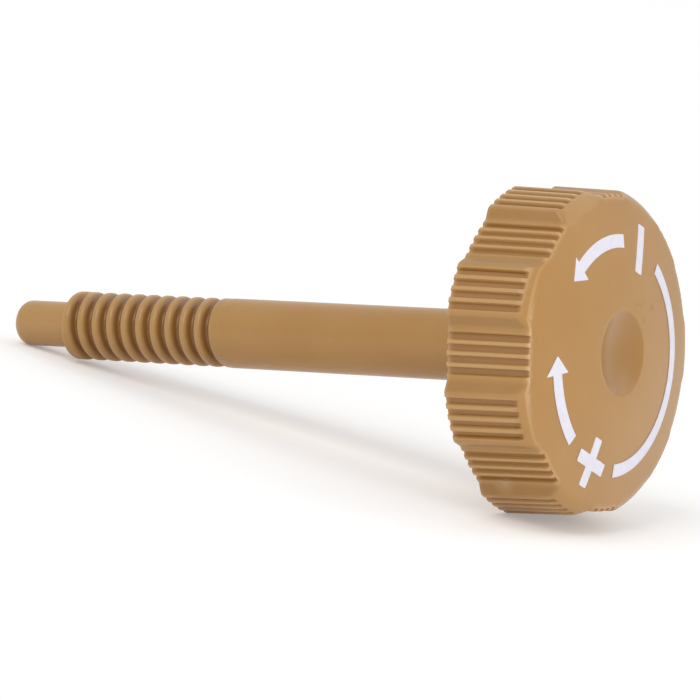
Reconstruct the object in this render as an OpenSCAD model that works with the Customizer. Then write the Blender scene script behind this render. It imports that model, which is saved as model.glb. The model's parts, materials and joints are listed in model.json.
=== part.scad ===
// Adjustment wheel: a hand knob and its long threaded spindle, moulded in one piece.
// The solid is drawn along its own turning axis: z = 0 is the back face of the rim, the
// finger face looks towards +z and the spindle runs towards -z. Angle 0 is the side that
// lies underneath. The last module lays it down as it rests on a table: on two raised
// pads of the rim and on the tip of the spindle.

/* [Knob] */
// Diameter over the raised pads, at the back edge of the rim
knob_d = 37; // [33:0.5:44]
// Length of the rim along the axis, up to the front edge
rim_depth = 10; // [8.5:0.5:14]
// Taper of the rim towards the front, per side, in degrees
rim_draft = 1.5; // [0.5:0.25:3]
// Bevel of the back edge of the rim
back_bevel = 0.35; // [0.2:0.05:0.8]
// Radius of the rounded front edge of the low pads
front_round = 1; // [0.6:0.1:1.6]
// Radius of the rounded front edge of the raised pads
pad_round = 2.3; // [1.6:0.1:2.8]
// Height of the domed face above the front edge
dome_height = 2; // [1:0.1:3]
// Diameter of the finger dimple
dimple_d = 9.4; // [7:0.2:12]
// Depth of the finger dimple below its rim
dimple_depth = 1.2; // [0.6:0.1:1.8]
// Radius of the softened rim of the dimple
dimple_round = 0.8; // [0.6:0.1:2]

/* [Grip] */
// Number of raised pads round the rim, with a low pad after each
lobe_count = 8; // [7:1:9]
// How far the low pads lie below the raised ones
lobe_drop = 0.8; // [0.6:0.05:1.4]
// Grooves in each pad, raised or low
grooves_per_pad = 4; // [2:1:4]
// Angle from the last rib of a raised pad to the first rib of the next low one
rib_gap = 6.1; // [5.6:0.1:8]
// Angle that a raised pad runs on past its last rib
pad_margin = 1; // [0.6:0.1:1.2]
// Angle that the slope between a raised and a low pad takes up
flank_angle = 3.6; // [2.8:0.1:4]
// Width of the grip grooves at the surface of a pad
groove_w = 0.9; // [0.7:0.02:0.96]
// Width of the grip grooves at their floor
groove_floor = 0.6; // [0.4:0.02:0.7]
// Depth of the grip grooves
groove_depth = 0.5; // [0.35:0.05:0.6]

/* [Cored back] */
// Thickness of the rim wall round the hollow back, below the low pads
rim_wall = 3; // [2.2:0.1:4]
// Diameter of the hub round the spindle
hub_d = 13.6; // [12:0.2:16]
// Depth of the hollow back
core_depth = 7.4; // [4:0.2:8]
// Taper of the walls of the hollow back, in degrees
core_draft = 1; // [0.5:0.25:2]
// Number of stiffening ribs
stiffener_count = 8; // [4:1:10]
// Thickness of the stiffening ribs
stiffener_w = 1.4; // [1:0.1:2]
// Distance of the stiffening ribs below the back edge of the rim
stiffener_recess = 1.2; // [0.5:0.1:2.5]

/* [Spindle] */
// Diameter of the plain spindle
spindle_d = 8; // [7:0.1:9.5]
// Length of the plain spindle, from the back of the rim to the thread
plain_length = 39.2; // [20:0.2:60]
// Radius of the fillet where the spindle meets the hub
root_fillet = 0.8; // [0.4:0.1:1.2]
// Diameter of the pilot pin
pin_d = 5.3; // [3.8:0.1:5.6]
// Length of the pilot pin
pin_length = 8.1; // [5:0.1:16]
// Radius of the rounded end of the pilot pin
tip_round = 1.4; // [0.4:0.1:1.7]

/* [Thread] */
// Length of the thread
thread_length = 21.9; // [14:0.1:40]
// Pitch of the thread
thread_pitch = 2.05; // [1.9:0.05:2.8]
// Clearance of the thread crests below the plain spindle, on the radius
crest_clearance = 0.03; // [0.02:0.01:0.2]
// Depth of the thread
thread_depth = 0.9; // [0.5:0.05:0.95]
// Width of the thread groove at the crests
thread_mouth = 1.62; // [1.2:0.02:1.7]
// Width of the thread groove at its bottom
thread_root = 0.4; // [0.2:0.05:0.5]
// Width of the softened edges of the thread crests
crest_round = 0.32; // [0.2:0.01:0.34]
// Size of the rounded shoulder between thread and pilot pin
shoulder_round = 0.3; // [0.2:0.05:0.6]
// Angle round the axis at which the thread groove begins
thread_start = 176; // [0:1:359]

/* [Hidden] */
$fn = 96;

// Segments in one rounded edge, in one large arc of the face and in one turn of the thread
edge_steps = 5;
face_steps = 8;
turn_steps = 32;
// Steps over which the thread groove gains its full depth at either end
fade_steps = 4;
// Plain margin between the thread groove and either end of the thread
groove_margin = 0.07;
// How far solids run into or past each other so that no two faces coincide
overlap = 1;
// How far a groove cutter stands out of its pad
cutter_lift = 0.25;

// Radii of the raised and low pads, at the back and at the front edge
high_r = knob_d / 2;
low_r = high_r - lobe_drop;
taper = rim_depth * tan(rim_draft);
high_front_r = high_r - taper;
low_front_r = low_r - taper;

// The domed face is a sphere through the front edge
dome_r = (high_front_r ^ 2 + dome_height ^ 2) / (2 * dome_height);
dome_z = rim_depth + dome_height - dome_r;
function dome_at(r) = dome_z + sqrt(dome_r ^ 2 - r ^ 2);
face_top = rim_depth + dome_height + overlap;

// The dimple is a sphere that cuts the dome in a circle
dimple_r = ((dimple_d / 2) ^ 2 + dimple_depth ^ 2) / (2 * dimple_depth);
dimple_z = dome_at(dimple_d / 2) - dimple_depth + dimple_r;

// The rounded rim of the dimple touches the dome from inside and the dimple from outside
sphere_gap = dimple_z - dome_z;
rim_rise = ((dome_r - dimple_round) ^ 2 - (dimple_r + dimple_round) ^ 2 + sphere_gap ^ 2) / (2 * sphere_gap);
dimple_rim_r = sqrt((dome_r - dimple_round) ^ 2 - rim_rise ^ 2);
dimple_rim_z = dome_z + rim_rise;
dome_end = atan2(dimple_rim_r, rim_rise);
dimple_end = atan2(dimple_rim_r, dimple_z - dimple_rim_z);

// The rounded front edge of a raised pad touches the dome from inside
high_edge_r = high_front_r - pad_round;
high_edge_z = dome_z + sqrt((dome_r - pad_round) ^ 2 - high_edge_r ^ 2);
dome_start = asin(high_edge_r / (dome_r - pad_round));

// The rounded front edge of a low pad meets the dome at a shallow angle
low_edge_end = 25;
low_edge_sink = 0.05;
low_edge_r = low_front_r - front_round;
low_join_r = low_edge_r + front_round * sin(low_edge_end);
low_edge_z = dome_at(low_join_r) - low_edge_sink - front_round * cos(low_edge_end);

// How far the sides of the raised and low pads lean inwards
high_lean = atan2(taper, high_edge_z - back_bevel);
low_lean = atan2(taper, low_edge_z - back_bevel);

// The pads repeat at equal angles, with a low pad underneath
lobe_step = 360 / lobe_count;
rib_step = (lobe_step / 2 - rib_gap) / grooves_per_pad;
pad_half = grooves_per_pad * rib_step / 2 + pad_margin;
flank_top = high_r * [cos(pad_half), sin(pad_half)];
flank_foot = low_r * [cos(pad_half + flank_angle), sin(pad_half + flank_angle)];
flank_run = flank_top - flank_foot;

// The hollow back lies between the rim wall and the hub
core_outer_r = low_r - groove_depth - rim_wall;
core_inner_r = hub_d / 2;
core_taper = core_depth * tan(core_draft);

// Stations along the spindle, and its radii
spindle_r = spindle_d / 2;
pin_r = pin_d / 2;
crest_r = spindle_r - crest_clearance;
thread_top = -plain_length;
shoulder = thread_top - thread_length;
tip = shoulder - pin_length;

// Cross-section of the thread groove, as distances along the axis and depths. The softened edges of
// the crests are wider than deep
crest_edge_depth = 0.6 * crest_round;
thread_section = [
    [-thread_mouth / 2, 0],
    [crest_round - thread_mouth / 2, crest_edge_depth],
    [-thread_root / 2, thread_depth],
    [thread_root / 2, thread_depth],
    [thread_mouth / 2 - crest_round, crest_edge_depth],
    [thread_mouth / 2, 0],
];
section_count = len(thread_section);
groove_first = shoulder + shoulder_round + thread_mouth / 2 + groove_margin;
groove_last = thread_top - thread_mouth / 2 - groove_margin;
thread_steps = floor((groove_last - groove_first) / thread_pitch * turn_steps);

// At rest the back bevel of two raised pads and the tip carry the wheel
rest_drop = high_r * cos(lobe_step / 2 - pad_half);
rest_run = back_bevel - tip - tip_round;
rest_rise = rest_drop - (pin_r - tip_round);
rest_tilt = atan2(rest_rise, rest_run) - asin(tip_round / norm([rest_run, rest_rise]));
rest_height = rest_drop * cos(rest_tilt) - back_bevel * sin(rest_tilt);
// The ends of the laid wheel along the table: a raised pad or the low one underneath, and the tip
high_reach = high_edge_z * cos(rest_tilt) + pad_round
    + high_edge_r * cos(lobe_step / 2 - pad_half) * sin(rest_tilt);
low_reach = dome_at(low_join_r) * cos(rest_tilt) + low_join_r * sin(rest_tilt);
rest_front = max(high_reach, low_reach);
rest_back = (tip + tip_round) * cos(rest_tilt) - (pin_r - tip_round) * sin(rest_tilt) - tip_round;

// Points of an arc in a turned profile. Angles count from the axis, outwards.
function arc(centre, radius, from, to, steps) = [
    for (i = [0 : steps])
        let (angle = from + (to - from) * i / steps)
        centre + radius * [sin(angle), cos(angle)]
];

// Turned form of the knob over its raised pads: bevel, side, edge, dome and dimple
module high_form() {
    rotate_extrude()
        polygon(concat(
            [[0, 0], [high_r - back_bevel, 0], [high_r, back_bevel]],
            arc([high_edge_r, high_edge_z], pad_round, 90, dome_start, edge_steps),
            arc([0, dome_z], dome_r, dome_start, dome_end, face_steps),
            arc([dimple_rim_r, dimple_rim_z], dimple_round, dome_end, -dimple_end, edge_steps),
            arc([0, dimple_z], dimple_r, 180 - dimple_end, 180, face_steps)
        ));
}

// Turned form of the low pads, open above the dome
module low_form() {
    edge = arc([low_edge_r, low_edge_z], front_round, 90, low_edge_end, edge_steps);
    slope = [edge[edge_steps][0] - low_edge_r + 2 * overlap, 0];
    inner = edge[edge_steps] - slope + [0, slope[0] * tan(low_edge_end)];
    rotate_extrude()
        polygon(concat(
            [[0, -overlap], [low_r - back_bevel - overlap, -overlap], [low_r, back_bevel]],
            edge,
            [inner, [inner[0], face_top], [0, face_top]]
        ));
}

// Outline that reaches past the raised pads and stays inside the low ones
module pad_outline() {
    foot = flank_foot - flank_run;
    top = flank_top + flank_run;
    half = [foot, top];
    mirrored = [for (p = half) [p[0], -p[1]]];
    pad = [mirrored[0], mirrored[1], half[1], half[0]];
    polygon([
        for (i = [0 : lobe_count - 1])
            let (angle = (i + 0.5) * lobe_step)
            for (p = pad)
                [p[0] * cos(angle) - p[1] * sin(angle), p[0] * sin(angle) + p[1] * cos(angle)]
    ]);
}

// The bare lobed knob
module lobed_form() {
    intersection() {
        high_form();
        union() {
            low_form();
            translate([0, 0, -overlap])
                linear_extrude(face_top + overlap)
                    pad_outline();
        }
    }
}

// One flat-floored groove along a pad. It leaves through the back edge, and in front it runs out
// where the rounded edge falls below its floor.
module groove(pad_r, lean) {
    flare = (groove_w - groove_floor) / 2 / groove_depth;
    mouth = groove_w / 2 + cutter_lift * flare;
    translate([pad_r, 0, back_bevel])
        rotate([0, -lean, 0])
            translate([0, 0, -back_bevel - overlap])
                linear_extrude(face_top + overlap)
                    polygon([
                        [-groove_depth, -groove_floor / 2],
                        [cutter_lift, -mouth],
                        [cutter_lift, mouth],
                        [-groove_depth, groove_floor / 2],
                    ]);
}

// The grooves of all the pads of one height
module pad_grooves(first_angle, pad_r, lean) {
    for (i = [0 : lobe_count - 1])
        for (j = [0 : grooves_per_pad - 1])
            rotate([0, 0, first_angle + i * lobe_step + (j - (grooves_per_pad - 1) / 2) * rib_step])
                groove(pad_r, lean);
}

// Hollow back of the knob, with its stiffening ribs left standing
module core() {
    difference() {
        rotate_extrude()
            polygon([
                [core_inner_r, -overlap],
                [core_outer_r, -overlap],
                [core_outer_r, 0],
                [core_outer_r - core_taper, core_depth],
                [core_inner_r + core_taper, core_depth],
                [core_inner_r, 0],
            ]);
        for (i = [0 : stiffener_count - 1])
            rotate([0, 0, (i + 0.5) * 360 / stiffener_count])
                translate([0, -stiffener_w / 2, stiffener_recess])
                    cube([high_r, stiffener_w, core_depth]);
    }
}

// Plain spindle, from inside the hub to the thread
module plain_spindle() {
    fillet_end = 60;
    rotate_extrude()
        polygon(concat(
            [
                [0, thread_top],
                [spindle_r, thread_top],
            ],
            arc([spindle_r + root_fillet, -root_fillet], root_fillet, -90, fillet_end - 90, edge_steps),
            [
                [spindle_r + root_fillet, overlap],
                [0, overlap],
            ]
        ));
}

// Threaded stretch with its core, as one closed skin: the groove is a strip that winds up
// the spindle, plain bands join its turns, and a ring closes the skin at either end
module thread() {
    last = thread_steps;
    function fade(i) = min(1, i / fade_steps, (last - i) / fade_steps);
    function at(i, radius, z) =
        let (angle = thread_start + i * 360 / turn_steps)
        [radius * cos(angle), radius * sin(angle), z];
    function ring(radius, z) = [for (i = [0 : turn_steps - 1]) at(i, radius, z)];
    // Triangles of a patch given by its low and high corners, left and right
    function patch(low_left, low_right, high_left, high_right) =
        [[low_left, high_left, high_right], [low_left, high_right, low_right]];

    groove_points = [
        for (i = [0 : last])
            for (p = thread_section)
                at(i, crest_r - fade(i) * p[1], groove_first + i * thread_pitch / turn_steps + p[0])
    ];
    shoulder_points = concat(
        ring(crest_r, shoulder + shoulder_round),
        ring(crest_r - shoulder_round * (1 - cos(45)), shoulder + shoulder_round * (1 - sin(45))),
        ring(crest_r - shoulder_round, shoulder)
    );
    top_points = ring(crest_r, thread_top + overlap);
    shoulder_base = len(groove_points);
    top_base = shoulder_base + len(shoulder_points);
    function strip(i, j) = i * section_count + j;
    function lower(row, i) = shoulder_base + row * turn_steps + i % turn_steps;
    function upper(i) = top_base + i % turn_steps;
    edge = section_count - 1;

    groove_faces = [
        for (i = [0 : last - 1])
            for (j = [0 : edge - 1])
                each patch(strip(i, j), strip(i + 1, j), strip(i, j + 1), strip(i + 1, j + 1))
    ];
    band_faces = [
        for (i = [0 : last - turn_steps - 1])
            each patch(strip(i, edge), strip(i + 1, edge),
                strip(i + turn_steps, 0), strip(i + turn_steps + 1, 0))
    ];
    first_band_faces = [
        for (i = [0 : turn_steps - 2])
            each patch(lower(0, i), lower(0, i + 1), strip(i, 0), strip(i + 1, 0))
    ];
    last_band_faces = [
        for (i = [last - turn_steps + 1 : last - 1])
            each patch(strip(i, edge), strip(i + 1, edge), upper(i), upper(i + 1))
    ];
    // The two patches beside the ends of the groove also hold the points of its end sections
    groove_start_face = concat(
        [strip(turn_steps - 1, 0), strip(turn_steps, 0)],
        [for (j = [edge : -1 : 0]) strip(0, j)],
        [lower(0, 0), lower(0, turn_steps - 1)]
    );
    groove_end_face = concat(
        [strip(last - turn_steps + 1, edge), strip(last - turn_steps, edge)],
        [for (j = [0 : edge]) strip(last, j)],
        [upper(last), upper(last + 1)]
    );
    shoulder_faces = [
        for (row = [0 : 1])
            for (i = [0 : turn_steps - 1])
                each patch(lower(row + 1, i), lower(row + 1, i + 1), lower(row, i), lower(row, i + 1))
    ];
    end_faces = [
        [for (i = [0 : turn_steps - 1]) lower(2, i)],
        [for (i = [turn_steps - 1 : -1 : 0]) upper(i)],
    ];

    polyhedron(
        points = concat(groove_points, shoulder_points, top_points),
        faces = concat(groove_faces, band_faces, first_band_faces, last_band_faces,
            [groove_start_face, groove_end_face], shoulder_faces, end_faces)
    );
}

// Pilot pin with its rounded end, from inside the thread to the tip
module pilot_pin() {
    rotate_extrude()
        polygon(concat(
            [[0, shoulder + overlap], [pin_r, shoulder + overlap]],
            arc([pin_r - tip_round, tip + tip_round], tip_round, 90, 180, edge_steps),
            [[0, tip]]
        ));
}

// Lays the wheel on the table, with the middle of its box over the origin
module at_rest() {
    translate([-(rest_front + rest_back) / 2, 0, rest_height])
        rotate([0, 90 - rest_tilt, 0])
            children();
}

module adjustment_wheel() {
    color("#B9894D")
        at_rest() {
            difference() {
                lobed_form();
                pad_grooves(lobe_step / 2, high_r, high_lean);
                pad_grooves(0, low_r, low_lean);
                core();
            }
            plain_spindle();
            thread();
            pilot_pin();
        }
}

adjustment_wheel();
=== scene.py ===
# %% [markdown]
# # Adjustment wheel
# The real object is one moulding in ochre plastic: a hand knob with a ribbed, lobed rim, a long
# spindle, a coarse thread and a pilot pin. White marks are printed on its face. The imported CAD
# solid is the frame of this scene. It is true to size but has sharp edges, so a finer skin with
# softened edges stands in for it.

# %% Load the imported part
import json
import math

import bpy
import numpy as np
from mathutils import Matrix, Vector


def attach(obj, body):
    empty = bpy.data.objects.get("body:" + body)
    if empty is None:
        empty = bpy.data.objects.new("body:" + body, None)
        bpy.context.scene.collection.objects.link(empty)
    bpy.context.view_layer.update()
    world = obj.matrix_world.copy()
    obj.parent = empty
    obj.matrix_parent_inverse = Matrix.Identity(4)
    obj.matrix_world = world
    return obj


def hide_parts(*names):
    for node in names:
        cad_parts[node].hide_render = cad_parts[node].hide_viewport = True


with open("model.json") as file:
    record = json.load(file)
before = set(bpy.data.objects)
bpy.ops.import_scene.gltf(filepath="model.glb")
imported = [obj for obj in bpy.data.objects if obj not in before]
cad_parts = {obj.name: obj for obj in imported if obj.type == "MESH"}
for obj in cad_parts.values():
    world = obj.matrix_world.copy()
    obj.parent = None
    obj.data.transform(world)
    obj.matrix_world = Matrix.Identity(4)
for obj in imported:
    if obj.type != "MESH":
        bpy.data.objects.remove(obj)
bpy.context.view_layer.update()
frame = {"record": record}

MM = 0.001

# %% [markdown]
# ## Where the wheel lies
# The wheel is built round one axis, so its skin is easiest to write in its own coordinates: z along
# that axis, zero at the back of the rim, and the finger face towards +z. On the table it leans.
# Instead of typing the lean in again, it is read from the spindle's mount in the record, whose
# middle is a known place on the axis. All lengths are in millimetres until the mesh is made.

# %% Axis and place of the wheel
PLAIN_LENGTH = 39.2
ROOT_FILLET = 0.8

spindle_mount = next(m for m in frame["record"]["mounts"] if m["name"] == "spindle")
axis_up = -Vector(spindle_mount["axis"]).normalized()
mount_height = -(PLAIN_LENGTH + ROOT_FILLET) / 2
rim_centre = Vector(spindle_mount["pos_m"]) - axis_up * mount_height * MM
across = Vector((0, 1, 0))
down = across.cross(axis_up)
wheel_place = Matrix((down, across, axis_up)).transposed().to_4x4()
wheel_place.translation = rim_centre
print("axis leans by", round(math.degrees(math.asin(axis_up.z)), 2), "degrees")

# %% [markdown]
# ## One skin from rings
# A turned or moulded body like this one can be made from a lathe profile, with booleans for the
# grooves. Booleans leave hard, uneven edges. Here the skin is a stack of rings round the axis, from
# the tip of the pin up the spindle, through the hollow back, over the rim and into the dimple of
# the face. Each ring may bend in and out and have its own number of points, so every edge gets a
# true round and the skin stays closed. A ring also carries a share of painted shade there, and
# below zero a share of paleness, from rubbing on the pin and a painted highlight on the front
# edge, for the plastic to show later.

# %% Rings and their angles
FULL_TURN = 2 * math.pi

rings = []
ring_shade_and_paleness = []


def add_ring(angles, radius, height, shade_and_paleness=0):
    """Adds a ring. Above zero the last value is painted shade, below zero rubbing and painted
    highlight.
    """
    radius = np.broadcast_to(radius, angles.shape)
    height = np.broadcast_to(height, angles.shape)
    points = np.column_stack([radius * np.cos(angles), radius * np.sin(angles), height])
    rings.append((angles, points))
    ring_shade_and_paleness.append(np.broadcast_to(shade_and_paleness, angles.shape))


def even_angles(count):
    """Angles of a ring with evenly spaced points."""
    return np.arange(count) * FULL_TURN / count


def quarter_round(count):
    """Turns at which the rings over a quarter round lie."""
    return np.linspace(0, math.pi / 2, count)


def soft_step(value):
    """Goes smoothly from 0 to 1 while value goes from 0 to 1."""
    share = np.clip(value, 0, 1)
    return share * share * (3 - 2 * share)


print("a soft step halfway up:", soft_step(0.5))

# %% [markdown]
# ## Pilot pin
# The thin end of the spindle guides it into its seat, which has rubbed it a little paler. It is a
# plain pin with a rounded end, so a few rings are enough: a flat end, a quarter round, the side,
# and a small fillet at the shoulder where the thread begins.

# %% Rings of the pilot pin
SPINDLE_POINTS = 96
THREAD_LENGTH = 21.9
PIN_LENGTH = 8.1
PIN_RADIUS = 2.65
TIP_ROUND = 1.4
PIN_FILLET = 0.15
PIN_RUBBED = 0.29
THREAD_TOP = -PLAIN_LENGTH
SHOULDER = THREAD_TOP - THREAD_LENGTH
TIP = SHOULDER - PIN_LENGTH
END_RADII = (0.4, 0.9)
PIN_HEIGHTS = (TIP + 1.8, SHOULDER - 4, SHOULDER - 0.6)

spindle_angles = even_angles(SPINDLE_POINTS)
for radius in END_RADII:
    add_ring(spindle_angles, radius, TIP, -PIN_RUBBED)
for turn in quarter_round(11):
    add_ring(
        spindle_angles,
        PIN_RADIUS - TIP_ROUND * (1 - math.sin(turn)),
        TIP + TIP_ROUND * (1 - math.cos(turn)),
        -PIN_RUBBED,
    )
for height in PIN_HEIGHTS:
    add_ring(spindle_angles, PIN_RADIUS, height, -PIN_RUBBED)
for turn in quarter_round(4):
    add_ring(
        spindle_angles,
        PIN_RADIUS + PIN_FILLET * (1 - math.cos(turn)),
        SHOULDER - PIN_FILLET * (1 - math.sin(turn)),
    )
print("pilot pin:", len(rings), "rings")

# %% [markdown]
# ## Thread
# The thread is a single right-hand groove with a rounded bottom, and its crests are rounded too. It
# could be a swept profile, but the ends of a sweep are hard to close. As a height field it is
# simple: the depth under each point depends only on how far the point is from the nearest turn of
# the groove along the axis. The groove fades out at both ends, as in the mould. The deeper it is,
# the darker it is painted, as painted shade in the groove.

# %% Depth of the thread
THREAD_RADIUS = 3.97
THREAD_PITCH = 2.05
# Half a section of the groove: distances along the axis from its middle, and the depths there
GROOVE_OFFSETS = (0, 0.1, 0.18, 0.26, 0.34, 0.44, 0.52, 0.6, 0.68, 0.76, 0.86)
GROOVE_DEPTHS = (0.9, 0.89, 0.86, 0.79, 0.65, 0.42, 0.26, 0.15, 0.07, 0.018, 0)
GROOVE_BEGIN_ANGLE = math.radians(176)
GROOVE_BEGIN = SHOULDER + 1.18
GROOVE_TURNS = 9.66
GROOVE_FADE = 0.12


def thread_depth(angles, height):
    """Depth of the thread groove under a ring, for every angle."""
    part_turn = (angles - GROOVE_BEGIN_ANGLE) / FULL_TURN % 1
    wound = part_turn + np.round((height - GROOVE_BEGIN) / THREAD_PITCH - part_turn)
    offset = np.abs(height - GROOVE_BEGIN - wound * THREAD_PITCH)
    fade = soft_step(np.minimum(wound, GROOVE_TURNS - wound) / GROOVE_FADE)
    return np.interp(offset, GROOVE_OFFSETS, GROOVE_DEPTHS) * fade


halfway = SHOULDER + THREAD_LENGTH / 2
print("deepest halfway along:", round(thread_depth(spindle_angles, halfway).max(), 2), "mm")

# %% Rings of the thread
SHOULDER_ROUND = 0.3
THREAD_RINGS = 220
FIRST_THREAD_RING = SHOULDER + SHOULDER_ROUND + 0.05
LAST_THREAD_RING = THREAD_TOP - 0.06

for turn in quarter_round(6):
    add_ring(
        spindle_angles,
        THREAD_RADIUS - SHOULDER_ROUND * (1 - math.sin(turn)),
        SHOULDER + SHOULDER_ROUND * (1 - math.cos(turn)),
    )
for height in np.linspace(FIRST_THREAD_RING, LAST_THREAD_RING, THREAD_RINGS):
    depth = thread_depth(spindle_angles, height)
    # The groove is painted darker the deeper it is: painted shade
    add_ring(spindle_angles, THREAD_RADIUS - depth, height, depth / GROOVE_DEPTHS[0])
print("thread:", THREAD_RINGS, "rings,", GROOVE_TURNS, "turns")

# %% [markdown]
# ## Plain spindle
# The plain stretch runs in a bush, so it is a true cylinder, a hair thicker than the thread. A
# fillet carries it into the hub of the knob, because a moulded spindle that met the hub at a sharp
# corner would crack there.

# %% Rings of the plain spindle
SPINDLE_RADIUS = 4.0
SPINDLE_HEIGHTS = (THREAD_TOP, THREAD_TOP + 0.25, THREAD_TOP + 6, -20, -6, -1.2)
HUB_RING_RADIUS = 5.3

for height in SPINDLE_HEIGHTS:
    add_ring(spindle_angles, SPINDLE_RADIUS, height)
for turn in quarter_round(8):
    add_ring(
        spindle_angles,
        SPINDLE_RADIUS + ROOT_FILLET * (1 - math.cos(turn)),
        -ROOT_FILLET * (1 - math.sin(turn)),
    )
add_ring(spindle_angles, HUB_RING_RADIUS, 0)
print("up to the hub:", len(rings), "rings")

# %% [markdown]
# ## Hollow back
# Thick plastic shrinks and sinks, so a knob like this is cored out from behind and stiffened by
# thin walls that run from the hub to the rim. The pocket is a profile of wall, floor and wall with
# rounded corners, and the eight stiffeners cap its depth. Points keep a fixed distance from a
# stiffener's middle, so its sides stay straight.

# %% Pocket with stiffeners
POCKET_DEPTH = 7.4
STIFFENERS = 8
GAP_POINTS = 8
# Distance from the middle of a stiffener, and the depth of the pocket there
stiffener_offsets = np.array([0, 0.3, 0.6, 0.67, 0.7, 0.76, 0.82, 0.95])
stiffener_depths = np.array([1.2, 1.2, 1.2, 1.225, 1.32, 7.0, 7.3, POCKET_DEPTH])

offsets = np.concatenate([-stiffener_offsets[:0:-1], stiffener_offsets])
depth_caps = np.concatenate([stiffener_depths[:0:-1], stiffener_depths])
gap_share = np.arange(1, GAP_POINTS + 1) / (GAP_POINTS + 1)


def add_pocket_ring(radius, depth):
    """Adds one ring of the pocket, no deeper than the stiffeners let it be."""
    sector = FULL_TURN / STIFFENERS
    wall = np.arcsin(offsets / radius)
    gap = wall[-1] + (sector + wall[0] - wall[-1]) * gap_share
    one_sector = np.concatenate([wall, gap])
    heights = np.concatenate([np.minimum(depth, depth_caps), np.full(GAP_POINTS, depth)])
    middles = (np.arange(STIFFENERS) + 0.5) * sector
    angles = (middles[:, None] + one_sector[None, :]).ravel() % FULL_TURN
    heights = np.tile(heights, STIFFENERS)
    order = np.argsort(angles)
    add_ring(angles[order], radius, heights[order])


print("pocket:", STIFFENERS * (len(offsets) + GAP_POINTS), "points round it")

# %% Rings of the hollow back
POCKET_INNER = 6.8
POCKET_OUTER = 14.2
POCKET_DRAFT = math.tan(math.radians(1))
EDGE_ROUND = 0.2
FLOOR_ROUND = 0.5
WALL_DEPTHS = (0.6, 1.1, 1.3, 4.0)
FLOOR_RADII = (9, 10.4, 12)

wall_end = POCKET_DEPTH - FLOOR_ROUND
floor_inner = POCKET_INNER + wall_end * POCKET_DRAFT + FLOOR_ROUND
floor_outer = POCKET_OUTER - wall_end * POCKET_DRAFT - FLOOR_ROUND
corner_turns = quarter_round(5)

add_pocket_ring(POCKET_INNER - 2 * EDGE_ROUND, 0)
for turn in corner_turns:
    add_pocket_ring(
        POCKET_INNER - EDGE_ROUND * (1 - math.sin(turn)), EDGE_ROUND * (1 - math.cos(turn))
    )
for depth in WALL_DEPTHS:
    add_pocket_ring(POCKET_INNER + depth * POCKET_DRAFT, depth)
for turn in corner_turns:
    add_pocket_ring(
        floor_inner - FLOOR_ROUND * math.cos(turn), wall_end + FLOOR_ROUND * math.sin(turn)
    )
for radius in FLOOR_RADII:
    add_pocket_ring(radius, POCKET_DEPTH)
for turn in corner_turns:
    add_pocket_ring(
        floor_outer + FLOOR_ROUND * math.sin(turn), wall_end + FLOOR_ROUND * math.cos(turn)
    )
for depth in reversed(WALL_DEPTHS):
    add_pocket_ring(POCKET_OUTER - depth * POCKET_DRAFT, depth)
for turn in corner_turns:
    add_pocket_ring(
        POCKET_OUTER + EDGE_ROUND * (1 - math.cos(turn)), EDGE_ROUND * (1 - math.sin(turn))
    )
add_pocket_ring(POCKET_OUTER + 3 * EDGE_ROUND, 0)
print("hollow back:", STIFFENERS, "stiffeners,", POCKET_DEPTH, "mm deep")

# %% [markdown]
# ## Rim
# The rim is what the fingers hold: eight raised and eight low pads with soft slopes between them,
# and four grooves in each pad. It narrows a little towards the front, so that the knob leaves its
# mould. Points stand close together where a groove turns over into a rib, and wide apart elsewhere,
# which gives round ribs without a heavy mesh.

# %% Points round the rim
RIM_RADIUS = 18.5
PAD_DROP = 0.8
PADS = 16
GROOVES = 4
RIB_STEP = math.radians(4.1)
# Distances from the middle of a groove at which points stand, and degrees from the middle of a pad
GROOVE_POINTS = (0, 0.15, 0.26, 0.3, 0.33, 0.36, 0.39, 0.42, 0.45, 0.49)
SLOPE_POINTS = np.arange(8.5, 11.0, 0.25)

pad_step = FULL_TURN / PADS
groove_middles = (np.arange(GROOVES) - (GROOVES - 1) / 2) * RIB_STEP
half_groove = np.array(GROOVE_POINTS) / (RIM_RADIUS - PAD_DROP / 2)
groove_samples = np.concatenate([-half_groove[:0:-1], half_groove])
crest_samples = np.array([-1, 0, 1]) * RIB_STEP
slope_samples = np.radians(SLOPE_POINTS)
one_pad = np.concatenate([
    (groove_middles[:, None] + groove_samples[None, :]).ravel(),
    crest_samples,
    slope_samples,
    -slope_samples,
    [pad_step / 2],
])
rim_angles = np.sort((np.arange(PADS)[:, None] * pad_step + one_pad[None, :]).ravel() % FULL_TURN)
print("rim:", len(rim_angles), "points round it")

# %% Pads and slopes
SLOPE_BEGIN = math.radians(9.2)
SLOPE_END = math.radians(12.8)
SLOPE_SOFTNESS = 0.14


def soft_ramp(value, softness):
    """Goes straight from 0 to 1 while value goes from 0 to 1, with both corners rounded."""
    begin = np.clip(value + softness, 0, 2 * softness)
    finish = np.clip(1 + softness - value, 0, 2 * softness)
    straight = np.clip(value - softness, 0, 1 - 2 * softness)
    return (begin ** 2 - finish ** 2) / (4 * softness) + straight + softness


pad_number = np.round(rim_angles / pad_step)
from_pad = rim_angles - pad_number * pad_step
raised_pad = pad_number % 2 == 1
from_raised = np.where(raised_pad, np.abs(from_pad), pad_step - np.abs(from_pad))
down_slope = (from_raised - SLOPE_BEGIN) / (SLOPE_END - SLOPE_BEGIN)
raised_share = 1 - soft_ramp(down_slope, SLOPE_SOFTNESS)
rim_radius = RIM_RADIUS - PAD_DROP * (1 - raised_share)
print("rim radius from", round(rim_radius.min(), 2), "to", round(rim_radius.max(), 2), "mm")

# %% [markdown]
# ## Front edge and groove ends
# Seen from the side, each pad is a straight line that turns into the domed face by a round edge.
# That round is large on the raised pads, so that from the front the wheel looks almost circular,
# and small on the low ones. The grooves have straight floors that leave through the back edge. In
# front, their floors rise softly to the surface, from just past the start of the round.

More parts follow.
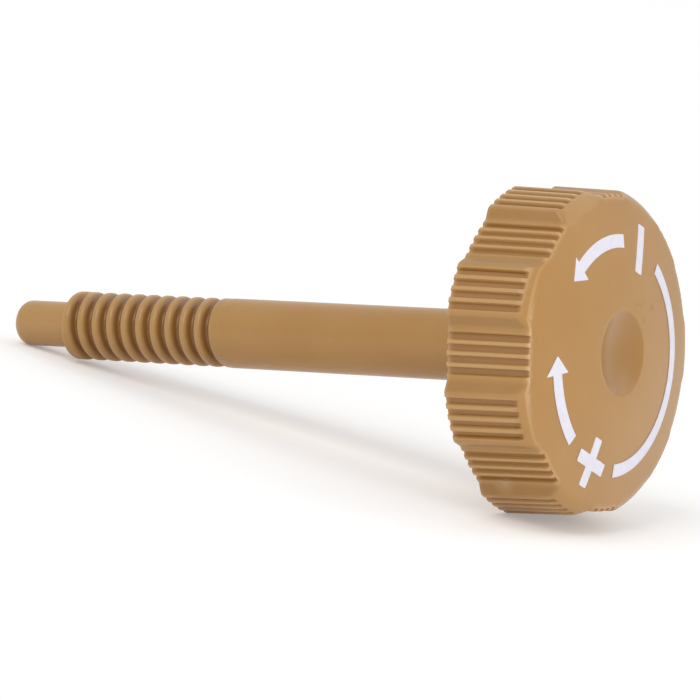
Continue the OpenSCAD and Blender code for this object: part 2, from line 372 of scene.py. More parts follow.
# %% Front edge of every pad
RIM_DEPTH = 10.0
RIM_TAPER = RIM_DEPTH * math.tan(math.radians(1.5))
BACK_ROUND = 0.35
LOW_FRONT_ROUND = 0.6
RAISED_FRONT_ROUND = 2.3
DOME_HEIGHT = 2.0

front_radius = RIM_RADIUS - RIM_TAPER
dome_radius = (front_radius ** 2 + DOME_HEIGHT ** 2) / (2 * DOME_HEIGHT)
dome_middle = RIM_DEPTH + DOME_HEIGHT - dome_radius
front_round = LOW_FRONT_ROUND + (RAISED_FRONT_ROUND - LOW_FRONT_ROUND) * raised_share
edge_radius = rim_radius - RIM_TAPER - front_round
edge_height = dome_middle + np.sqrt((dome_radius - front_round) ** 2 - edge_radius ** 2)
edge_turn = np.arcsin(edge_radius / (dome_radius - front_round))
lean = RIM_TAPER / (edge_height - BACK_ROUND)
print("dome radius", round(dome_radius, 2), "mm")

# %% [markdown]
# The rim is painted a little darker all over, and more on the slopes between the pads, where the
# darkening is painted shade. One side of the front edge carries a narrow pale line, a painted
# highlight. Both fade out, so neither has a hard end.

# %% Grooves, painted shade and painted highlight line of the rim
GRIP_DEPTH = 0.5
GRIP_FLOOR_HALF = 0.3
GRIP_MOUTH_HALF = 0.47
# How much darker the rim is painted: a little all over, and painted shade on the slopes
RIM_DARKENING = 0.08
SLOPE_SHADE = 0.2
SLOPE_SPREAD = 6
# A narrow pale line along one side of the front edge: a painted highlight
HIGHLIGHT_LINE_WIDTH = 0.5
HIGHLIGHT_LINE_SIDE = math.radians(270)
HIGHLIGHT_LINE_SPREAD = math.radians(60)

from_groove = np.min(np.abs(from_pad[:, None] - groove_middles[None, :]), axis=1) * rim_radius
up_wall = (from_groove - GRIP_FLOOR_HALF) / (GRIP_MOUTH_HALF - GRIP_FLOOR_HALF)
cut = GRIP_DEPTH * (1 - soft_step(up_wall))
on_slope = np.clip(SLOPE_SPREAD * raised_share * (1 - raised_share), 0, 1)
rim_darkening = RIM_DARKENING + SLOPE_SHADE * on_slope
highlight_line_half = HIGHLIGHT_LINE_WIDTH / 2 / (front_round * (math.pi / 2 - edge_turn))
highlight_line_most = 1 - soft_step(np.abs(rim_angles - HIGHLIGHT_LINE_SIDE) / HIGHLIGHT_LINE_SPREAD)
print("darkest place of the rim:", round(rim_darkening.max(), 2))

# %% Rings of the rim
GROOVE_END_BEGIN = 0.05
GROOVE_END_LENGTH = 1.3
BACK_RING_INSET = 0.15
SIDE_HEIGHTS = (BACK_ROUND + 0.2, 3, 6)
HEIGHTS_BELOW_EDGE = (0.8, 0.3, 0.1)
FRONT_RINGS = 20
# Where across the front round the painted highlight line lies, and how far it reaches
HIGHLIGHT_LINE_PLACE = 0.6
HIGHLIGHT_LINE_REACH = 1.1


def add_rim_ring(radius, height, highlight_line=0):
    """Adds one ring of the rim, cut back where a groove passes, with its painted shade and highlight.
    """
    straight_side = rim_radius - np.maximum(0, height - BACK_ROUND) * lean
    on_side = 1 - soft_step((height - edge_height - GROOVE_END_BEGIN) / GROOVE_END_LENGTH)
    cut_radius = np.minimum(radius, straight_side - cut * on_side)
    add_ring(rim_angles, cut_radius, height, rim_darkening * on_side - highlight_line)


add_ring(rim_angles, rim_radius - np.maximum(BACK_ROUND, cut) - BACK_RING_INSET, 0)
for turn in quarter_round(5):
    add_rim_ring(rim_radius - BACK_ROUND * (1 - math.sin(turn)), BACK_ROUND * (1 - math.cos(turn)))
for height in SIDE_HEIGHTS:
    add_rim_ring(rim_radius, height)
for below_edge in HEIGHTS_BELOW_EDGE:
    add_rim_ring(rim_radius, edge_height - below_edge)
for share in np.linspace(0, 1, FRONT_RINGS):
    turn = math.pi / 2 + (edge_turn - math.pi / 2) * share
    highlight_line = highlight_line_most * soft_step(HIGHLIGHT_LINE_REACH - np.abs(share - HIGHLIGHT_LINE_PLACE) / highlight_line_half)
    add_rim_ring(
        edge_radius + front_round * np.sin(turn), edge_height + front_round * np.cos(turn), highlight_line
    )
print("up to the face:", len(rings), "rings")

# %% [markdown]
# ## Domed face and finger dimple
# The face is a shallow dome, so that the printed marks don't rub off on a table. In its middle is a
# dimple for a fingertip, which is painted darker as painted shade. Dome and dimple are parts of two
# spheres, and a third, small round joins them without a crease.

# %% Spheres of dome, dimple and lip
DIMPLE_WIDTH = 9.4
DIMPLE_DEPTH = 1.2
DIMPLE_ROUND = 0.8


def dome_height_at(radius):
    """Height of the domed face at a distance from the axis."""
    return dome_middle + np.sqrt(dome_radius ** 2 - radius ** 2)


dimple_radius = ((DIMPLE_WIDTH / 2) ** 2 + DIMPLE_DEPTH ** 2) / (2 * DIMPLE_DEPTH)
dimple_middle = dome_height_at(DIMPLE_WIDTH / 2) - DIMPLE_DEPTH + dimple_radius
spheres_apart = dimple_middle - dome_middle
dome_inside = dome_radius - DIMPLE_ROUND
dimple_outside = dimple_radius + DIMPLE_ROUND
rise = (dome_inside ** 2 - dimple_outside ** 2 + spheres_apart ** 2) / (2 * spheres_apart)
lip_radius = math.sqrt(dome_inside ** 2 - rise ** 2)
lip_height = dome_middle + rise
lip_begin = math.atan2(lip_radius, rise)
lip_end = math.atan2(lip_radius, dimple_middle - lip_height)
print("dimple sphere", round(dimple_radius, 2), "mm")

# %% Rings of the face
OUTER_FACE_RADIUS = 15.9
FACE_RADII = (15.4, 14, 12.5, 11, 9.5, 8, 6.8, 5.9)
FACE_POINTS = 336
DIMPLE_POINTS = 84
LIP_RINGS = 14
# The dimple is painted darker from partway down its lip: painted shade
DIMPLE_SHADE = 0.34
LIP_SHADE_BEGIN = 0.2
LIP_SHADE_GROWTH = 1.5
# Shares of the way from the bottom of the dimple to its lip
WIDE_DIMPLE_RINGS = np.array([0.88, 0.74, 0.6, 0.46])
NARROW_DIMPLE_RINGS = np.array([0.32, 0.2, 0.1])

face_angles = even_angles(FACE_POINTS)
dimple_angles = even_angles(DIMPLE_POINTS)
add_ring(rim_angles, OUTER_FACE_RADIUS, dome_height_at(OUTER_FACE_RADIUS))
for radius in FACE_RADII:
    add_ring(face_angles, radius, dome_height_at(radius))
for share in np.linspace(0, 1, LIP_RINGS):
    turn = lip_begin - (lip_begin + lip_end) * share
    add_ring(
        face_angles,
        lip_radius + DIMPLE_ROUND * math.sin(turn),
        lip_height + DIMPLE_ROUND * math.cos(turn),
        DIMPLE_SHADE * soft_step(LIP_SHADE_GROWTH * (share - LIP_SHADE_BEGIN)),
    )
for angles, shares in ((face_angles, WIDE_DIMPLE_RINGS), (dimple_angles, NARROW_DIMPLE_RINGS)):
    for turn in lip_end * shares:
        bottom = dimple_middle - dimple_radius * math.cos(turn)
        add_ring(angles, dimple_radius * math.sin(turn), bottom, DIMPLE_SHADE)
print("all in all:", len(rings), "rings")

# %% [markdown]
# ## Closing the skin
# Rings with the same number of points are joined by quads. Where the number changes, as between hub
# and pocket, the two rings are zipped together by angle with triangles. One point at either end
# closes the skin.

# %% Faces between rings


def quads_between(first, second):
    """Faces between two rings that have the same number of points."""
    return np.column_stack([first, np.roll(first, -1), np.roll(second, -1), second]).tolist()


def triangles_between(first, first_angles, second, second_angles):
    """Faces between two rings with different numbers of points, zipped by angle."""
    first = np.append(first, first[0])
    second = np.append(second, second[0])
    first_angles = np.append(first_angles, first_angles[0] + FULL_TURN)
    second_angles = np.append(second_angles, second_angles[0] + FULL_TURN)
    faces = []
    i = 0
    j = 0
    while i < len(first) - 1 or j < len(second) - 1:
        first_is_done = i == len(first) - 1
        second_is_done = j == len(second) - 1
        if second_is_done or (not first_is_done and first_angles[i + 1] <= second_angles[j + 1]):
            faces.append([first[i], first[i + 1], second[j]])
            i += 1
        else:
            faces.append([first[i], second[j + 1], second[j]])
            j += 1
    return faces


def ring_mesh(name, bottom, top):
    """One closed mesh over all the rings, with a point below the first and one above the last."""
    points = np.vstack([[bottom], *[ring_points for _, ring_points in rings], [top]])
    numbers = np.arange(1, 1 + len(rings[0][0]))
    faces = [[0, after, number] for number, after in zip(numbers, np.roll(numbers, -1))]
    for (angles, _), (next_angles, _) in zip(rings, rings[1:]):
        next_numbers = np.arange(numbers[-1] + 1, numbers[-1] + 1 + len(next_angles))
        if len(numbers) == len(next_numbers):
            faces += quads_between(numbers, next_numbers)
        else:
            faces += triangles_between(numbers, angles, next_numbers, next_angles)
        numbers = next_numbers
    last = len(points) - 1
    faces += [[number, after, last] for number, after in zip(numbers, np.roll(numbers, -1))]
    mesh = bpy.data.meshes.new(name)
    mesh.from_pydata((points * MM).tolist(), [], faces)
    mesh.transform(wheel_place)
    return mesh


print("points to join:", sum(len(angles) for angles, _ in rings) + 2)

# %% Join the rings into one mesh
SHARP_ANGLE = math.radians(50)

wheel_mesh = ring_mesh("moulded_wheel", (0, 0, TIP), (0, 0, dimple_middle - dimple_radius))
# Above zero painted shade, below zero paleness: rubbing on the pin and painted highlight on the edge
shade_and_paleness = wheel_mesh.attributes.new("shade_and_paleness", "FLOAT", "POINT")
shade_and_paleness.data.foreach_set("value", np.concatenate([[-PIN_RUBBED], *ring_shade_and_paleness, [DIMPLE_SHADE]]))
wheel_mesh.shade_smooth()
wheel_mesh.set_sharp_from_angle(angle=SHARP_ANGLE)
wheel = bpy.data.objects.new("moulded_wheel", wheel_mesh)
bpy.context.scene.collection.objects.link(wheel)
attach(wheel, "root")
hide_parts("adjustment_wheel")
triangle_count = sum(len(face.vertices) - 2 for face in wheel_mesh.polygons)
print("moulded wheel:", triangle_count, "triangles")

# %% [markdown]
# ## Printed marks
# The face carries a minus, a plus, two curved arrows and a long arc, all in white ink on one
# circle. Ink like this is pad printed: a film a few hundredths of a millimetre thick that follows
# the dome. A picture on the plastic would blur close up. Instead each mark is drawn flat as strips
# of quads between two edges, laid on the dome, and given its thickness by a Solidify modifier.

# %% Strips of ink in the plane of the face
PRINT_CENTRE = np.array([-0.12, -0.31])

ink_points = []
ink_faces = []


def radial(clock):
    """Direction outwards at a clock angle in degrees, as a step to the right and a step up."""
    turn = np.radians(clock)
    return np.array([np.sin(turn), np.cos(turn)])


def face_point(radius, clock):
    """Point of the face at a clock angle."""
    return PRINT_CENTRE + radius * radial(clock)


def add_strip(left, right):
    """Adds the quads of ink between two edges with the same number of points."""
    first = len(ink_points)
    for left_point, right_point in zip(left, right):
        ink_points.append(left_point)
        ink_points.append((left_point + right_point) / 2)
        ink_points.append(right_point)
    for row in range(len(left) - 1):
        for column in (0, 1):
            corner = first + 3 * row + column
            ink_faces.append([corner, corner + 1, corner + 4, corner + 3])


print("print centre is off the axis by", round(math.hypot(*PRINT_CENTRE), 2), "mm")

# %% Arc and arrows
PRINT_RADIUS = 12.61
BAND_WIDTH = 1.46
CLOCK_STEP = 1.5
# The point of a head is left a little blunt
HEAD_SHARES = (0, 0.25, 0.5, 0.75, 0.97)


def clock_steps(begin, end):
    """Clock angles along an arc."""
    return np.linspace(begin, end, max(2, round(abs(end - begin) / CLOCK_STEP) + 1))


def add_band(begin, end):
    """Adds a curved band of ink between two clock angles."""
    inner = [face_point(PRINT_RADIUS - BAND_WIDTH / 2, clock) for clock in clock_steps(begin, end)]
    outer = [face_point(PRINT_RADIUS + BAND_WIDTH / 2, clock) for clock in clock_steps(begin, end)]
    add_strip(inner, outer)


def add_arrow(tail, neck, tip, head_inner, head_outer):
    """Adds a curved arrow: a band up to the neck and a straight-sided head."""
    add_band(tail, neck)
    inner_corner = face_point(head_inner, neck)
    outer_corner = face_point(head_outer, neck)
    point = face_point(PRINT_RADIUS, tip)
    add_strip(
        [inner_corner + (point - inner_corner) * share for share in HEAD_SHARES],
        [outer_corner + (point - outer_corner) * share for share in HEAD_SHARES],
    )


add_band(begin=41.4, end=179.5)
add_arrow(tail=4.8, neck=-39.0, tip=-48.9, head_inner=10.85, head_outer=14.0)
add_arrow(tail=225.2, neck=262.2, tip=271.5, head_inner=10.8, head_outer=14.4)
print("arc and arrows:", len(ink_faces), "quads")

# %% Minus and plus
BAR_WIDTH = 1.42
CORNER_CUT = 0.1
MINUS_HALF = 2.76
MINUS_LEAN = 19.8
PLUS_HALF = 2.77
PLUS_LEAN = 201.5


def add_bar(middle, along, half_length, stops):
    """Adds a straight bar with slightly softened corners at its ends."""
    beside = np.array([along[1], -along[0]])
    inside = half_length - CORNER_CUT
    stations = [-half_length, -inside, *stops, inside, half_length]
    halves = [BAR_WIDTH / 2 - (CORNER_CUT if abs(place) == half_length else 0) for place in stations]
    add_strip(
        [middle + along * station - beside * half for station, half in zip(stations, halves)],
        [middle + along * station + beside * half for station, half in zip(stations, halves)],
    )


bar_half = BAR_WIDTH / 2
minus_middle = face_point(12.54, 22.1)
plus_middle = face_point(12.43, 202.6)
plus_up = radial(PLUS_LEAN)
plus_side = np.array([plus_up[1], -plus_up[0]])
add_bar(minus_middle, radial(MINUS_LEAN), MINUS_HALF, stops=(-1, 1))
add_bar(plus_middle, plus_up, PLUS_HALF, stops=(-bar_half, 0, bar_half))
print("ink with both bars:", len(ink_faces), "quads")

# %% [markdown]
# The cross arms of the plus start at the edge of its upright, so the ink never lies double. Their
# first points are the upright's own, and merging points that coincide makes the plus one piece.

# %% Cross arms of the plus
ARM_STATIONS = (bar_half, 1.4, 2.1, PLUS_HALF - CORNER_CUT, PLUS_HALF)
ARM_HALVES = (bar_half, bar_half, bar_half, bar_half, bar_half - CORNER_CUT)

for sign in (-1, 1):
    add_strip(
        [plus_middle + sign * (plus_side * s - plus_up * h) for s, h in zip(ARM_STATIONS, ARM_HALVES)],
        [plus_middle + sign * (plus_side * s + plus_up * h) for s, h in zip(ARM_STATIONS, ARM_HALVES)],
    )
print("ink with the whole plus:", len(ink_faces), "quads")

# %% Lay the ink on the dome
INK_HEIGHT = 0.03
INK_THICKNESS = 0.06
MERGE_DISTANCE = 0.01
FACE_UP = math.pi

right_way = np.array([math.cos(FACE_UP - math.pi / 2), math.sin(FACE_UP - math.pi / 2)])
up_way = np.array([math.cos(FACE_UP), math.sin(FACE_UP)])
flat = np.array(ink_points) @ np.array([right_way, up_way])
heights = dome_height_at(np.hypot(flat[:, 0], flat[:, 1])) + INK_HEIGHT
ink_mesh = bpy.data.meshes.new("printed_marks")
ink_mesh.from_pydata((np.column_stack([flat, heights]) * MM).tolist(), [], ink_faces)
ink_mesh.transform(wheel_place)
marks = bpy.data.objects.new("printed_marks", ink_mesh)
bpy.context.scene.collection.objects.link(marks)
weld = marks.modifiers.new("join strips", "WELD")
weld.merge_threshold = MERGE_DISTANCE * MM
thickness = marks.modifiers.new("ink film", "SOLIDIFY")
thickness.thickness = INK_THICKNESS * MM
thickness.offset = -1
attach(marks, "root")
print("printed marks:", len(ink_faces), "quads")

# %% [markdown]
# ## Ochre plastic
# The wheel is moulded in a filled technical plastic such as glass-filled nylon, coloured right
# through. The mould was finely eroded, which leaves a satin skin: soft, broad highlights, a faint
# grain, and slow clouds of colour where the melt flowed. A picture could be wrapped round it, but
# it would show seams. Here all of it is noise in the wheel's own space, scaled in millimetres,
# which has neither seams nor stretch.

# %% Helpers for materials


def linear(hex_colour):
    """Turns an sRGB hex colour into the linear values that shaders use."""
    shares = [int(hex_colour[i:i + 2], 16) / 255 for i in (1, 3, 5)]
    return [s / 12.92 if s <= 0.04045 else ((s + 0.055) / 1.055) ** 2.4 for s in shares] + [1]


def add_node(tree, kind, settings, links):
    """Adds a node, sets its properties or inputs by name, and links its inputs to other outputs."""
    node = tree.nodes.new(kind)
    for name, value in settings.items():
        if hasattr(node, str(name)):
            setattr(node, name, value)
        else:
            node.inputs[name].default_value = value
    for name, source in links.items():
        tree.links.new(source, node.inputs[name])
    return node


def new_material(name):
    """An empty node material and its tree."""
    material = bpy.data.materials.new(name)
    material.use_nodes = True
    material.node_tree.nodes.clear()
    return material, material.node_tree


def millimetres(tree):
    """The place of a point in its object's space, in millimetres."""
    place = add_node(tree, "ShaderNodeTexCoord", {}, {})
    scaled = add_node(
        tree,
        "ShaderNodeVectorMath",
        {"operation": "SCALE", "Scale": 1 / MM},
        {0: place.outputs["Object"]},
    )
    return scaled.outputs[0]


print("ochre in linear light:", [round(value, 3) for value in linear("#B68646")])

# %% Clean plastic
CLOUD_SIZE = 9.0
RUB_SIZE = 1.6
# Real grain is some hundredths of a millimetre wide. It is drawn coarser, so that it shows.
GRAIN_SIZE = 0.22

# Glass-filled nylon from an eroded mould: to the eye satin, slightly cloudy and warm
plastic, plastic_tree = new_material("moulded_ochre_nylon")
in_mm = millimetres(plastic_tree)
clouds = add_node(
    plastic_tree, "ShaderNodeTexNoise", {"Scale": 1 / CLOUD_SIZE, "Detail": 3}, {"Vector": in_mm}
)
grain = add_node(
    plastic_tree, "ShaderNodeTexNoise", {"Scale": 1 / GRAIN_SIZE, "Detail": 2}, {"Vector": in_mm}
)
rubs = add_node(
    plastic_tree,
    "ShaderNodeTexNoise",
    {"Scale": 1 / RUB_SIZE, "Detail": 5, "Roughness": 0.65},
    {"Vector": in_mm},
)
clean_colour = add_node(plastic_tree, "ShaderNodeValToRGB", {}, {"Fac": clouds.outputs["Fac"]})
stops = clean_colour.color_ramp.elements
for stop, place, colour in zip(stops, (0.3, 0.7), ("#B68646", "#BC8C4D")):
    stop.position = place
    stop.color = linear(colour)
print("clean plastic:", len(plastic_tree.nodes), "nodes")

# %% [markdown]
# Handling has left a few paler rubs all over, one scuff on the rim and some faint, dark specks by
# the dimple. All three are the high spots of one noise. The rubs are its very highest spots,
# wherever they lie. The scuff and the specks take in lower ones too, but only close to one place.

# %% Rubs, scuff and specks
SCUFF_PLACE = (33.4, -10.5, 4.2)
SCUFF_RADIUS = 1.6
SPECK_PLACE = (37.3, 5.5, 24.9)
SPECK_RADIUS = 3.4


def marks_near(place, radius, strength, low, high):
    """Share of marks from the rub noise, between a low and a high value of it, close to one place."""
    distance = add_node(
        plastic_tree, "ShaderNodeVectorMath", {"operation": "DISTANCE", 1: place}, {0: in_mm}
    )
    area = add_node(
        plastic_tree,
        "ShaderNodeMapRange",
        {"From Min": radius, "From Max": radius / 3, "To Max": strength},
        {"Value": distance.outputs["Value"]},
    )
    spots = add_node(
        plastic_tree,
        "ShaderNodeMapRange",
        {"From Min": low, "From Max": high},
        {"Value": rubs.outputs["Fac"]},
    )
    share = add_node(
        plastic_tree,
        "ShaderNodeMath",
        {"operation": "MULTIPLY"},
        {0: area.outputs[0], 1: spots.outputs[0]},
    )
    return share.outputs[0]


scuff_share = marks_near(SCUFF_PLACE, SCUFF_RADIUS, strength=0.8, low=0.38, high=0.52)
speck_share = marks_near(SPECK_PLACE, SPECK_RADIUS, strength=0.4, low=0.54, high=0.64)
rub_share = add_node(
    plastic_tree,
    "ShaderNodeMapRange",
    {"From Min": 0.62, "From Max": 0.8, "To Max": 0.35},
    {"Value": rubs.outputs["Fac"]},
)
rub_or_scuff = add_node(
    plastic_tree, "ShaderNodeMath", {"operation": "MAXIMUM"}, {0: rub_share.outputs[0], 1: scuff_share}
)
rubbed_colour = add_node(
    plastic_tree,
    "ShaderNodeMix",
    {"data_type": "RGBA", "B": linear("#CBA578")},
    {"Factor": rub_or_scuff.outputs[0], "A": clean_colour.outputs["Color"]},
)
print("with rubs, scuff and specks:", len(plastic_tree.nodes), "nodes")

# %% [markdown]
# Painted shade darkens the colour. The rings already carry a share of it for the thread, the
# dimple and the rim, and the faint dark specks by the dimple take the same darker colour. Narrow
# hollows such as the grip grooves get more painted shade: an Ambient Occlusion node finds them by
# how little of the open space a point sees.

# %% Painted shade and specks
HOLLOW_REACH = 1.5

# Painted shade from the rings, and the real dark specks, in one darker colour
shade_and_paleness_input = add_node(plastic_tree, "ShaderNodeAttribute", {"attribute_name": "shade_and_paleness"}, {})
shade_or_speck = add_node(
    plastic_tree,
    "ShaderNodeMath",
    {"operation": "MAXIMUM"},
    {0: shade_and_paleness_input.outputs["Fac"], 1: speck_share},
)
shade_and_speck_colour = add_node(
    plastic_tree,
    "ShaderNodeMix",
    {"data_type": "RGBA", "B": linear("#885C2A")},
    {"Factor": shade_or_speck.outputs[0], "A": rubbed_colour.outputs["Result"]},
)
# Painted shade in narrow hollows, found by Ambient Occlusion
hollows = add_node(
    plastic_tree,
    "ShaderNodeAmbientOcclusion",
    {"samples": 8, "only_local": True, "Distance": HOLLOW_REACH * MM},
    {},
)
hollow_shade_share = add_node(
    plastic_tree,
    "ShaderNodeMapRange",
    {"From Min": 0.8, "From Max": 0.35, "To Max": 0.42},
    {"Value": hollows.outputs["AO"]},
)
hollow_shaded_colour = add_node(
    plastic_tree,
    "ShaderNodeMix",
    {"data_type": "RGBA", "B": linear("#87531E")},
    {"Factor": hollow_shade_share.outputs[0], "A": shade_and_speck_colour.outputs["Result"]},
)
print("with dirt and hollow_shade:", len(plastic_tree.nodes), "nodes")

# %% [markdown]
# Rubbing turns this plastic paler, because it bares the filler. The rings carry rubbing on the pin,
# and a narrow pale line on the front edge that is a painted highlight, as values below zero.
# Narrow edges are painted paler everywhere, partly as wear and partly as painted highlight, and
# Ambient Occlusion finds those as well when it looks into the plastic instead of out of it.

# %% Rubbing, worn edges and painted highlights
EDGE_REACH = 0.8

# Paleness from the rings: rubbing on the pin, and a painted highlight on the front edge
rub_and_highlight_share = add_node(
    plastic_tree,
    "ShaderNodeMapRange",
    {"From Min": 0.0, "From Max": -1.0, "To Max": 0.45},
    {"Value": shade_and_paleness_input.outputs["Fac"]},
)
rub_and_highlight_colour = add_node(
    plastic_tree,
    "ShaderNodeMix",
    {"data_type": "RGBA", "B": linear("#E3BE8E")},
    {"Factor": rub_and_highlight_share.outputs[0], "A": hollow_shaded_colour.outputs["Result"]},
)
# Narrow edges painted paler: partly wear, partly painted highlight
edges = add_node(
    plastic_tree,
    "ShaderNodeAmbientOcclusion",
    {"samples": 8, "inside": True, "only_local": True, "Distance": EDGE_REACH * MM},
    {},
)
wear_and_highlight_share = add_node(
    plastic_tree,
    "ShaderNodeMapRange",
    {"From Min": 0.9, "From Max": 0.5, "To Max": 0.6},
    {"Value": edges.outputs["AO"]},
)
worn_and_highlit_colour = add_node(
    plastic_tree,
    "ShaderNodeMix",
    {"data_type": "RGBA", "B": linear("#DDB47C")},
    {"Factor": wear_and_highlight_share.outputs[0], "A": rub_and_highlight_colour.outputs["Result"]},
)
print("with worn places:", len(plastic_tree.nodes), "nodes")

# %% [markdown]
# The satin gloss changes a little with the clouds, and places painted pale, the pin by rubbing and
# the front edge as a painted highlight, are smoother. Where the roughness of this plastic passes
# through about 0.274, thin lines show in the finished picture, so all of it stays below.

# %% Gloss and grain of the plastic
GRAIN_HEIGHT = 0.012

gloss = add_node(
    plastic_tree,
    "ShaderNodeMapRange",
    {"From Min": 0.3, "From Max": 0.7, "To Min": 0.24, "To Max": 0.27},
    {"Value": clouds.outputs["Fac"]},
)
# Smoother where the rings are pale: the pin and the painted highlight line
smoother_where_pale = add_node(
    plastic_tree,
    "ShaderNodeMapRange",
    {"From Min": 0.0, "From Max": -1.0, "To Min": 1.0, "To Max": 0.65},
    {"Value": shade_and_paleness_input.outputs["Fac"]},
)
roughness = add_node(
    plastic_tree,
    "ShaderNodeMath",
    {"operation": "MULTIPLY"},
    {0: gloss.outputs[0], 1: smoother_where_pale.outputs[0]},
)
skin_bump = add_node(
    plastic_tree,
    "ShaderNodeBump",
    {"Strength": 0.25, "Distance": GRAIN_HEIGHT * MM},
    {"Height": grain.outputs["Fac"]},
)
plastic_shader = add_node(
    plastic_tree,
    "ShaderNodeBsdfPrincipled",
    {"IOR": 1.53},
    {
        "Base Color": worn_and_highlit_colour.outputs["Result"],
        "Roughness": roughness.outputs[0],
        "Normal": skin_bump.outputs["Normal"],
    },
)
add_node(plastic_tree, "ShaderNodeOutputMaterial", {}, {"Surface": plastic_shader.outputs[0]})
wheel.data.materials.append(plastic)
print("plastic:", len(plastic_tree.nodes), "nodes")

# %% [markdown]
# ## White print
# Pad-printing ink dries matt and covers well, but never perfectly: the film is a little thinner
# here and there, and the grain of the plastic leaves pinholes through which the ochre shows. A
# plain white could stand for it, but that broken white is what tells print from a white insert.

# %% Pad-printed ink
# Real pinholes are finer still. They are drawn as coarse as they need to be to show.
PINHOLE_SIZE = 0.12
PINHOLE_DEPTH = 0.01
FILM_SIZE = 0.9

# Printing ink with much white pigment: to the eye matt, cool and almost covering
ink, ink_tree = new_material("pad_printed_white_ink")
ink_in_mm = millimetres(ink_tree)
film = add_node(
    ink_tree, "ShaderNodeTexNoise", {"Scale": 1 / FILM_SIZE, "Detail": 4}, {"Vector": ink_in_mm}
)
pinholes = add_node(
    ink_tree, "ShaderNodeTexNoise", {"Scale": 1 / PINHOLE_SIZE, "Detail": 1}, {"Vector": ink_in_mm}
)
film_colour = add_node(ink_tree, "ShaderNodeValToRGB", {}, {"Fac": film.outputs["Fac"]})
stops = film_colour.color_ramp.elements
for stop, place, colour in zip(stops, (0.3, 0.65), ("#EBE9F5", "#F2F0FA")):
    stop.position = place
    stop.color = linear(colour)
hole_share = add_node(
    ink_tree,
    "ShaderNodeMapRange",
    {"From Min": 0.74, "From Max": 0.82, "To Max": 0.5},
    {"Value": pinholes.outputs["Fac"]},
)
ink_colour = add_node(
    ink_tree,
    "ShaderNodeMix",
    {"data_type": "RGBA", "B": linear("#CDB08A")},
    {"Factor": hole_share.outputs[0], "A": film_colour.outputs["Color"]},
)
ink_bump = add_node(
    ink_tree,
    "ShaderNodeBump",
    {"Strength": 0.2, "Distance": PINHOLE_DEPTH * MM},
    {"Height": pinholes.outputs["Fac"]},
)
ink_shader = add_node(
    ink_tree,
    "ShaderNodeBsdfPrincipled",
    {"IOR": 1.5, "Roughness": 0.6},
    {"Base Color": ink_colour.outputs["Result"], "Normal": ink_bump.outputs["Normal"]},
)
add_node(ink_tree, "ShaderNodeOutputMaterial", {}, {"Surface": ink_shader.outputs[0]})
marks.data.materials.append(ink)
print("ink:", len(ink_tree.nodes), "nodes")

# %% [markdown]
# ## Floor
# The wheel lies on a plain floor of white studio paper, one large plane. More light would turn the
# floor white, but it would bleach the wheel as well. Instead, to the camera the floor glows a
# little on top of the light it reflects, so it reaches white, while the shadow under the wheel
# stays.

# %% Pale floor
FLOOR_METRES = 30.0
FLOOR_GLOW = 0.25
# Real paper fibres are far finer. They are drawn coarser and only keep the paper from being quite even.
FIBRE_SIZE = 0.5


def seen_by_camera(tree):
    """1 on rays that reach the camera straight, off a gloss or through glass, and 0 on other light."""
    ray = add_node(tree, "ShaderNodeLightPath", {}, {})
    seen = add_node(
        tree,
        "ShaderNodeMath",
        {"operation": "MAXIMUM"},
        {0: ray.outputs["Is Camera Ray"], 1: ray.outputs["Is Glossy Ray"]},
    )
    seen_or_through = add_node(
        tree,
        "ShaderNodeMath",
        {"operation": "MAXIMUM"},
        {0: seen.outputs[0], 1: ray.outputs["Is Transmission Ray"]},
    )
    return seen_or_through.outputs[0]


bpy.ops.mesh.primitive_plane_add(size=FLOOR_METRES)
floor = bpy.context.object
floor.name = "floor"
# Uncoated paper: to the eye dull and evenly white
paper, paper_tree = new_material("white_studio_paper")
fibres = add_node(
    paper_tree, "ShaderNodeTexNoise", {"Scale": 1 / FIBRE_SIZE}, {"Vector": millimetres(paper_tree)}
)
paper_colour = add_node(paper_tree, "ShaderNodeValToRGB", {}, {"Fac": fibres.outputs["Fac"]})
for stop, colour in zip(paper_colour.color_ramp.elements, ("#F2F2F2", "#F6F6F6")):
    stop.color = linear(colour)
paper_shader = add_node(
    paper_tree, "ShaderNodeBsdfDiffuse", {}, {"Color": paper_colour.outputs["Color"]}
)
glow_strength = add_node(
    paper_tree,
    "ShaderNodeMath",
    {"operation": "MULTIPLY", 1: FLOOR_GLOW},
    {0: seen_by_camera(paper_tree)},
)
glow = add_node(paper_tree, "ShaderNodeEmission", {}, {"Strength": glow_strength.outputs[0]})
both = add_node(
    paper_tree, "ShaderNodeAddShader", {}, {0: paper_shader.outputs[0], 1: glow.outputs[0]}
)
add_node(paper_tree, "ShaderNodeOutputMaterial", {}, {"Surface": both.outputs[0]})
floor.data.materials.append(paper)
print("paper:", len(paper_tree.nodes), "nodes")

# %% [markdown]
# ## Light
# The photograph was lit as in a light tent: white all round, and a stronger side on the left and
# above. The white all round is the world. It is plain white to the camera and lights the wheel less
# than that. Lamps close by would light one end of the wheel more than the other and fall off across
# the floor, so the two soft boxes are large and some metres away. A narrow strip close in front of
# the face adds a thin highlight along its rounded edge. The level is plain: a colour renders about
# as it is written.

# %% White surroundings
AMBIENT = 0.62

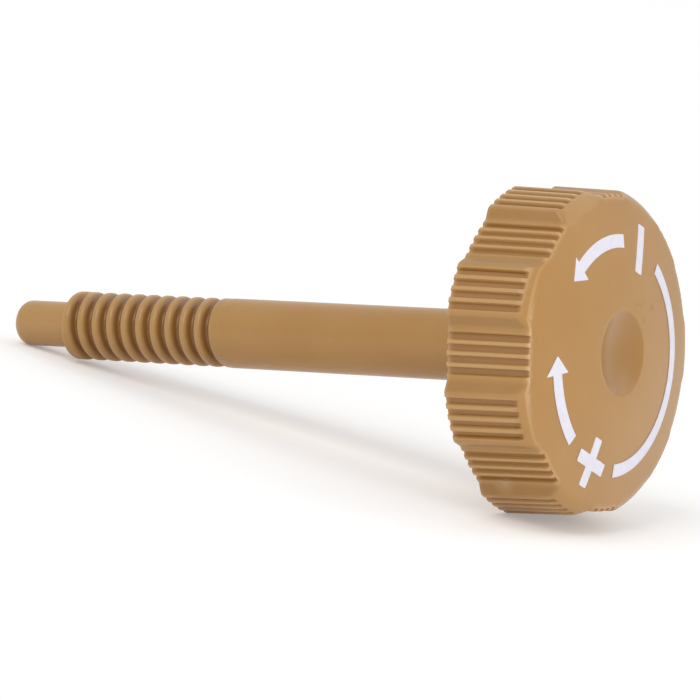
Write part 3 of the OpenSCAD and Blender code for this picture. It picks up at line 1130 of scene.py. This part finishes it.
world = bpy.data.worlds.new("white_surroundings")
bpy.context.scene.world = world
world.use_nodes = True
world_tree = world.node_tree
world_tree.nodes.clear()
brightness = add_node(
    world_tree,
    "ShaderNodeMapRange",
    {"To Min": AMBIENT, "To Max": 1.0},
    {"Value": seen_by_camera(world_tree)},
)
surround = add_node(world_tree, "ShaderNodeBackground", {}, {"Strength": brightness.outputs[0]})
add_node(world_tree, "ShaderNodeOutputWorld", {}, {"Surface": surround.outputs[0]})
print("surroundings:", len(world_tree.nodes), "nodes")

# %% Soft boxes


def add_soft_box(name, location, width, height, brightness):
    """Adds a lamp that faces the wheel. Lengths are in metres, and white paper has brightness 1."""
    lamp = bpy.data.lights.new(name, "AREA")
    lamp.shape = "RECTANGLE"
    lamp.size = width
    lamp.size_y = height
    lamp.energy = brightness * math.pi * width * height
    box = bpy.data.objects.new(name, lamp)
    box.location = location
    box.rotation_euler = (Vector(location) - rim_centre).to_track_quat("Z", "Y").to_euler()
    bpy.context.scene.collection.objects.link(box)


add_soft_box("soft_box_left", (-0.56, -3.16, 3.83), width=3.6, height=3.6, brightness=2.1)
add_soft_box("soft_box_behind", (0.3, 3.2, 3.83), width=8.4, height=4.7, brightness=0.5)
add_soft_box("strip_light_right", (0.15, -0.036, 0.041), width=0.012, height=0.08, brightness=12.0)
print("lamps:", len(bpy.data.lights))

# %% [markdown]
# ## Camera
# The photograph was taken with a long lens, a little above the table. The camera's place and turn
# were fitted to the outline of the wheel in the picture. It is also rolled, because in the picture
# the spindle lies level.

# %% Camera at the photograph's angle
CAMERA_PLACE = (295.675, -475.825, 103.136)
CAMERA_TURN = (80.4263, -12.0163, 33.4857)

camera_data = bpy.data.cameras.new("camera")
camera_data.sensor_width = 36
camera_data.lens = 257.143
camera_data.clip_start = 0.01
camera_data.clip_end = 100
camera = bpy.data.objects.new("camera", camera_data)
camera.location = Vector(CAMERA_PLACE) * MM
camera.rotation_euler = [math.radians(angle) for angle in CAMERA_TURN]
bpy.context.scene.collection.objects.link(camera)
bpy.context.scene.camera = camera
bpy.context.scene.view_settings.view_transform = "Standard"
print("camera to rim:", round((camera.location - rim_centre).length, 3), "m")
